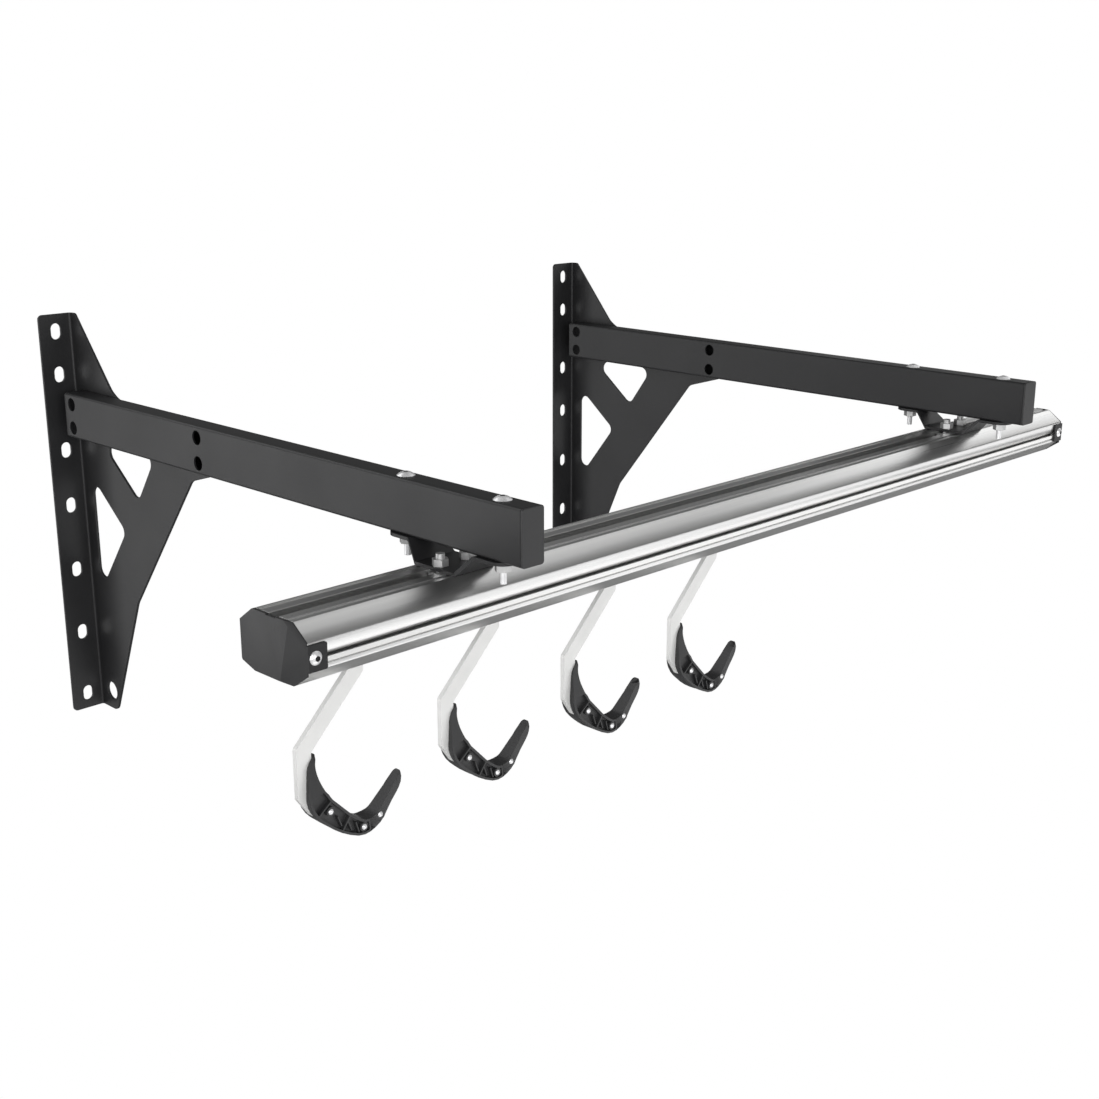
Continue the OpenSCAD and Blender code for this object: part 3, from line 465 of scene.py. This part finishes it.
for side in SIDES:
    low, high = (Vector(v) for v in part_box(f"{side}_hanger_bolts"))
    head, dome = (high.x - low.x) / 2, ARM_BOLT["dome"]
    rings = button_rings(head, low.z - high.z + dome, **ARM_BOLT)
    places = [((low.x + high.x) / 2, y, high.z - dome) for y in (low.y + head, high.y - head)]
    socket_bolt(f"{side}_hanger_bolts", places, rings, Matrix.Identity(3))
    low, high = (Vector(v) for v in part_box(f"{side}_cap_screw"))
    head, dome = (high.x - low.x) / 2, CAP_SCREW["dome"]
    rings = button_rings(head, low.y - high.y + dome, **CAP_SCREW)
    place = ((low.x + high.x) / 2, low.y + dome, (low.z + high.z) / 2)
    socket_bolt(f"{side}_cap_screw", [place], rings, Matrix.Rotation(pi / 2, 3, "X"))
    print(side, "cap screw head", round(head * 2000, 2), "mm wide")

# %% [markdown]
# ## End caps
# The moulded end caps are flat plates with a chamfer round their outer face. Towards the room
# and along the upper front edge the face leans back, and it is smoother there. On a copy of
# the CAD cap the rim gets its chamfer with the bevel operator, the outer face is cut along two
# creases, and what lies beyond a crease is sunk and takes the polished plastic, whose darker
# colour is painted shade for the leaned-back faces. The outline loses its small notch at the
# side lip, and the rest of it stays as it meets the rail.

# %% End cap values
SAME_PLACE = 1e-5  # two places closer than this count as one
RAIL_Y = -0.6604  # the middle plane of the rail and of the hooks
CAP_HALF = 0.0424  # from that plane to the cap's front or back
NOTCH_FROM, NOTCH_LOW, NOTCH_HIGH = 0.0390, -0.0845, -0.0555  # out from the plane, and heights
CAP_CHAMFER, MOST_SUNK = 0.0022, 0.0024
OUTER_LAYER = 0.0023  # points deeper than this belong to the cap's back
FACES_OUT = 0.99  # a normal's share along the rail, from which a face belongs to the outer one
# For each crease: a point on it, the direction that leans back, and how steeply.
CAP_CREASES = (
    (Vector((0.0, -0.6689, -0.0963)), Vector((0.0, -0.052, -0.0146)).normalized(), 0.075),
    (Vector((0.0, -0.6912, -0.0543)), Vector((0.0, -0.584, 0.812)).normalized(), 0.48))


# %% End cap helpers
def fill_notch(shape):
    for v in shape.verts:
        across = v.co.y - RAIL_Y
        if NOTCH_FROM < abs(across) < CAP_HALF and NOTCH_LOW < v.co.z < NOTCH_HIGH:
            v.co.y = RAIL_Y + CAP_HALF * (1 if across > 0 else -1)
    join_flat(shape)


def chamfer_rim(shape, face_x, outwards):
    outer = [f for f in shape.faces if f.normal.x * outwards > FACES_OUT
             and abs(f.calc_center_median().x - face_x) < SAME_PLACE]
    rim = [e for f in outer for e in f.edges if sum(g in outer for g in e.link_faces) == 1]
    bmesh.ops.bevel(shape, geom=rim, offset=CAP_CHAMFER, offset_type="OFFSET",
                    affect="EDGES", segments=3, profile=0.5, material=-1, clamp_overlap=True)
    print("rim edges:", len(rim))


def lean_back(shape, face_x, outwards):
    for crease, lean, slope in CAP_CREASES:
        everything = shape.verts[:] + shape.edges[:] + shape.faces[:]
        bmesh.ops.bisect_plane(shape, geom=everything, dist=WELD, plane_co=crease, plane_no=lean)
        for v in shape.verts:
            out, sunk = (v.co - crease).dot(lean), abs(v.co.x - face_x)
            if out > 0 and sunk < OUTER_LAYER:
                v.co.x = face_x - outwards * max(sunk, min(out * slope, MOST_SUNK))


# %% Dress the end caps
for side in SIDES:
    node = f"{side}_end_cap"
    low, high = (Vector(v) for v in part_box(node))
    face_x, outwards = (low.x, -1.0) if side == "left" else (high.x, 1.0)
    shape = merged_copy(node)
    join_flat(shape)
    fill_notch(shape)
    chamfer_rim(shape, face_x, outwards)
    lean_back(shape, face_x, outwards)
    mesh = finished_mesh(shape, node + "_dressed", crisp=20.0)
    add_piece(node, mesh, moulded_black)
    mesh.materials.append(polished_shaded_black)
    # Faces beyond a crease take the polished plastic, whose darker colour is painted shade.
    for face in mesh.polygons:
        beyond = [(face.center - crease).dot(lean) > SAME_PLACE for crease, lean, _ in CAP_CREASES]
        face.material_index = int(any(beyond))
    print(node, len(mesh.polygons), "faces")

# %% [markdown]
# ## Rail
# The rail is one aluminium extrusion. Close up, the photograph shows that its rolled side lips
# hang further over the side slots, and that the lower chamfer starts a little higher, than in
# the CAD profile. Both are moves of a few rows of points, so the copy of the extrusion is
# reshaped by height before it is dressed, and its outer size stays the same. Only edges above
# 45 degrees get a radius, and shading turns crisp from 25 degrees, so that each narrow face of
# a lip keeps a reflection of its own.

# %% Rail profile
LIP_TOP, LIP_END, LIP_DRAWN_END = -0.0600, -0.0679, -0.0703  # heights
LIP_FROM, LIP_OUTSIDE = 0.0375, 0.0385  # how far out from the rail's middle plane
LIP_END_LAYER = 1e-4  # this near its end, the lip moves over its whole thickness
CHAMFER_FROM, CHAMFER_LOW, CHAMFER_HIGH, CHAMFER_RISE = 0.0405, -0.0850, -0.0820, 0.0028


def draw_rail_profile(shape):
    stretch = LIP_DRAWN_END - LIP_TOP
    moved = 0
    for v in shape.verts:
        reach, z = abs(v.co.y - RAIL_Y), v.co.z
        if reach > LIP_FROM and LIP_END - SAME_PLACE < z < LIP_TOP:
            if reach > LIP_OUTSIDE or z < LIP_END + LIP_END_LAYER:
                v.co.z = LIP_TOP + (z - LIP_TOP) * stretch / (LIP_END - LIP_TOP)
                moved += 1
        elif v.co.y < RAIL_Y and reach > CHAMFER_FROM and CHAMFER_LOW < z < CHAMFER_HIGH:
            v.co.z += CHAMFER_RISE
            moved += 1
    print("rail points moved:", moved)


# %% Dress the rail
rail = dress("rail", satin_aluminium, 0.0005, angle=45.0, crisp=25.0,
             reshape=draw_rail_profile)
print("rail faces:", len(rail.data.polygons))

# %% [markdown]
# ## Hook pads
# Each bowl is lined with a moulded plastic saddle: its sides are hollowed out and stiffened
# with ribs, and it narrows to a wedge at the tip. The CAD pad has the outline, the screw bosses
# and shallow hollows. On a copy the hollows are sunk deeper, so they fall into shadow, the tip
# is drawn to its wedge and rounded, and more ribs are set into the hollows.

# %% Pad values
HOOK_1_X, HOOK_PITCH, BOWL_Z = -0.5265, 0.1532, -0.2414
# A point of a pad has three measures from its hook's bowl, in metres: u along the rail, w across
# the rail, and up.
PAD_HALF, TIP_HALF, TIP_HALF_DRAWN = 0.0085, 0.0047, 0.0046  # half widths, across
TAPER, TAPER_DRAWN = (-0.008, 0.022), (0.002, 0.033)  # where the width starts and stops falling
CORE, SKIN = 0.0030, 0.0002  # the pad's core keeps its width, and the taper acts outside it
HOLLOW, HOLLOW_SUNK = 0.0070, 0.0046  # the floors of the hollows, in the CAD and as sunk
HOLLOW_LAYER, HOLLOW_END = 0.00006, 0.005
WEDGE_U, WEDGE_UP, WEDGE_SLOPE = 0.0176, 0.0102, 0.918  # the line of the wedge's inner side
WEDGE_RUN, WEDGE_CLIMB = 0.737, 0.676  # the same line as a direction
WEDGE_FROM = 0.012
ROUND_FROM, ROUND_LENGTH, ROUND_U, ROUND_LEAST = 0.0255, 0.0046, 0.028, 0.25  # the wedge's end
BACK_TIP_UP, BACK_TIP_NARROW = 0.0702, 0.45  # the thin upper end at the hook's back


# %% Pad shaping
def half_width(u, start, end, tip):
    return PAD_HALF + (tip - PAD_HALF) * share(u, start, end - start)


def shape_pad(shape, hook_x):
    for v in shape.verts:
        u, w, up = v.co.x - hook_x, v.co.y - RAIL_Y, v.co.z - BOWL_Z
        side = 1.0 if w > 0 else -1.0
        old = half_width(u, *TAPER, TIP_HALF)
        if abs(abs(w) - HOLLOW) < HOLLOW_LAYER and u < HOLLOW_END:
            w = side * HOLLOW_SUNK
        elif CORE < abs(w) < old + SKIN:
            w *= half_width(u, *TAPER_DRAWN, TIP_HALF_DRAWN) / old
        over = (up - WEDGE_UP) - (u - WEDGE_U) * WEDGE_SLOPE
        if over > 0 and u > WEDGE_FROM:
            across = over / (1.0 + WEDGE_SLOPE ** 2)
            u, up = u + WEDGE_SLOPE * across, up - across
        along = (u - WEDGE_U) * WEDGE_RUN + (up - WEDGE_UP) * WEDGE_CLIMB - ROUND_FROM
        if along > 0 and u > ROUND_U:
            w *= max(ROUND_LEAST, 1.0 - (along / ROUND_LENGTH) ** 2) ** 0.5
        if up > BACK_TIP_UP:
            w *= BACK_TIP_NARROW
        v.co = (hook_x + u, RAIL_Y + w, BOWL_Z + up)


# %% Pad ribs
RIB_SIZE = (0.0011, 0.0036, 0.0105)
RIB_OUT = 0.0063
# For each rib: its place along the rail and up, and how far it leans.
RIBS = ((-0.0300, 0.0080, 0.36), (-0.0200, 0.0010, 0.36), (-0.0120, -0.0035, 0.30))


def pad_ribs(shape, hook_x):
    for u, up, lean in RIBS:
        for side in (-1.0, 1.0):
            rib = bmesh.ops.create_cube(shape, size=1.0)["verts"]
            place = (hook_x + u, RAIL_Y + side * RIB_OUT, BOWL_Z + up)
            bmesh.ops.scale(shape, verts=rib, vec=RIB_SIZE)
            bmesh.ops.rotate(shape, verts=rib, cent=(0, 0, 0),
                             matrix=Matrix.Rotation(-lean, 3, "Y"))
            bmesh.ops.translate(shape, verts=rib, vec=place)


# %% Pad dressing helper
def dress_pad(i):
    node, hook_x = f"hook_{i}_pad", HOOK_1_X + (i - 1) * HOOK_PITCH
    shape = merged_copy(node)
    shape_pad(shape, hook_x)
    join_flat(shape, degrees=3.0)
    pad_ribs(shape, hook_x)
    bmesh.ops.recalc_face_normals(shape, faces=shape.faces)
    mesh = finished_mesh(shape, node + "_dressed", crisp=34.0)
    piece = add_piece(node, mesh, pad_black)
    round_edges(piece, "Moulded edges", 0.0007, segments=3, degrees=38)
    print(node, len(mesh.polygons), "faces")


# %% [markdown]
# ## Hooks
# Each hook is a flat steel plate that is cut to its J and hangs from four nylon rollers on two
# axles. The rollers run inside the rail and hardly show, but they are what lets the hook
# glide, so they are dressed as the rest is. All four hooks are alike, so one loop makes them.

# %% Dress the hooks
for i in range(1, 5):
    dress(f"hook_{i}_plate", hook_steel, 0.0006)
    dress_pad(i)
    dress(f"hook_{i}_pad_screws", zinc, 0.0002)
    dress(f"hook_{i}_axles", zinc, 0.0002)
    for side in SIDES:
        dress(f"hook_{i}_{side}_rollers", nylon, 0.0005)
pieces = [o for o in bpy.data.objects if o.name.endswith(("_dressed", "_socketed"))]
print("all pieces:", len(pieces))

# %% [markdown]
# ## Studio
# The photograph has a plain white ground. Drawn metal and black coats show mostly what they
# reflect, so the light is built for its reflections. The camera sees a plain white floor and
# world. Every other ray meets a pale grey floor and a dim world, which leave the black parts
# and the rail's flat top dark. Wide panels light the upright faces from the left, from the
# front and from behind. Two panels low over the floor, in front of the rail and below it, run
# along it and give its lips their bright bands. One lamp or an even white world would turn the
# rail plain white.

# %% Floor
FLOOR_Z, FLOOR_SIZE = -1.3, 30.0
floor_shape = bmesh.new()
bmesh.ops.create_grid(floor_shape, x_segments=1, y_segments=1, size=FLOOR_SIZE)
bmesh.ops.translate(floor_shape, vec=(0.0, 0.0, FLOOR_Z), verts=floor_shape.verts)
floor_mesh = bpy.data.meshes.new("Floor")
floor_shape.to_mesh(floor_mesh)
floor_shape.free()
floor = bpy.data.objects.new("Floor", floor_mesh)
bpy.context.scene.collection.objects.link(floor)

# %% Floor finish: white to the camera, pale grey to every other ray
floor_material = grained("Pale floor", dark=(0.40, 0.40, 0.40), light=(0.42, 0.42, 0.42),
                         rough=(0.85, 0.95), grain=60.0, depth=0.0001, specular=0.1)
floor_tree = floor_material.node_tree
glow = floor_tree.nodes.new("ShaderNodeEmission")
seen = floor_tree.nodes.new("ShaderNodeLightPath")
either = floor_tree.nodes.new("ShaderNodeMixShader")
grey, output = floor_tree.nodes["Principled BSDF"], floor_tree.nodes["Material Output"]
floor_tree.links.new(seen.outputs["Is Camera Ray"], either.inputs["Fac"])
floor_tree.links.new(grey.outputs["BSDF"], either.inputs[1])
floor_tree.links.new(glow.outputs["Emission"], either.inputs[2])
floor_tree.links.new(either.outputs["Shader"], output.inputs["Surface"])
floor_mesh.materials.append(floor_material)
print("floor at", FLOOR_Z, "m")


# %% Soft lights
def soft_light(name, place, target, size, brightness):
    lamp = bpy.data.lights.new(name, "AREA")
    lamp.shape = "RECTANGLE"
    lamp.size, lamp.size_y = size
    lamp.energy = brightness * pi * size[0] * size[1]
    holder = bpy.data.objects.new(name, lamp)
    holder.location = place
    aim = Vector(target) - Vector(place)
    holder.rotation_euler = aim.to_track_quat("-Z", "Y").to_euler()
    holder.visible_camera = False
    bpy.context.scene.collection.objects.link(holder)
    print(name, round(lamp.energy, 1), "W")


# Each panel: its name, its place, the point it faces, its width and height, its brightness. The
# floor panels face straight up, but for a millimetre that keeps their long side along the rail.
soft_light("Left rear panel", (-2.6, 1.5, -0.3), (0.0, -0.3, -0.1), (2.6, 2.2), 1.95)
soft_light("Front right low panel", (2.9, -3.0, -0.75), (0.4, -0.6, -0.1), (3.8, 1.3), 1.3)
soft_light("Upper right panel", (3.3, -1.0, 1.35), (0.2, -0.7, 0.0), (1.7, 1.7), 1.2)
soft_light("Overhead panel", (1.7, -1.1, 2.5), (0.0, -0.7, 0.0), (2.4, 1.6), 0.62)
soft_light("Left front fill", (-3.2, -2.4, 0.3), (0.0, -0.5, -0.1), (3.2, 2.4), 2.6)
soft_light("Wide front fill", (-1.6, -4.8, 0.9), (0.0, -0.6, -0.1), (3.6, 2.6), 2.8)
soft_light("Upper rear panel", (-1.0, 0.8, 1.3), (-0.3, -0.66, -0.24), (1.6, 1.4), 1.5)
soft_light("Right rear fill", (2.6, 2.2, -0.55), (0.0, -0.5, -0.15), (2.2, 1.1), 1.3)
soft_light("Near floor panel", (0.85, -1.45, -1.28), (0.85, -1.449, 0.0), (3.5, 0.9), 1.2)
soft_light("Far floor panel", (0.85, -2.6, -1.28), (0.85, -2.599, 0.0), (3.5, 1.4), 1.05)
soft_light("Far right strip", (3.8, 1.3, 0.7), (0.4, -0.66, -0.05), (1.2, 0.5), 0.6)

# %% World
SKY_LIGHT, SKY_SEEN = 0.16, 1.0  # what the world gives as light, and to the camera
world = bpy.data.worlds.new("Studio")
bpy.context.scene.world = world
world.use_nodes = True
sky = world.node_tree
backdrop = sky.nodes["Background"]
backdrop.inputs["Color"].default_value = (1.0, 1.0, 1.0, 1.0)
path = sky.nodes.new("ShaderNodeLightPath")
brightness = sky.nodes.new("ShaderNodeMapRange")
brightness.inputs["To Min"].default_value = SKY_LIGHT
brightness.inputs["To Max"].default_value = SKY_SEEN
sky.links.new(path.outputs["Is Camera Ray"], brightness.inputs["Value"])
sky.links.new(brightness.outputs["Result"], backdrop.inputs["Strength"])
bpy.context.scene.view_settings.view_transform = "Standard"

# %% [markdown]
# ## Check
# The dressed model must keep the CAD model's size. Each piece is compared with the box of
# the CAD node that it stands for.

# %% Compare each piece with its CAD node
WORTH_NAMING = 0.001
bpy.context.view_layer.update()
graph = bpy.context.evaluated_depsgraph_get()
worst = 0.0
for piece in pieces:
    low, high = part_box(piece.name.rsplit("_", 1)[0])
    shown = piece.evaluated_get(graph).to_mesh()
    spots = [v.co for v in shown.vertices]
    over = max(max(low[k] - min(p[k] for p in spots), max(p[k] for p in spots) - high[k])
               for k in range(3))
    if over > WORTH_NAMING:
        print("   ", piece.name, "stands out by", round(over * 1000, 2), "mm")
    worst = max(worst, over)
print("largest overhang of a dressed piece:", round(worst * 1000, 3), "mm")
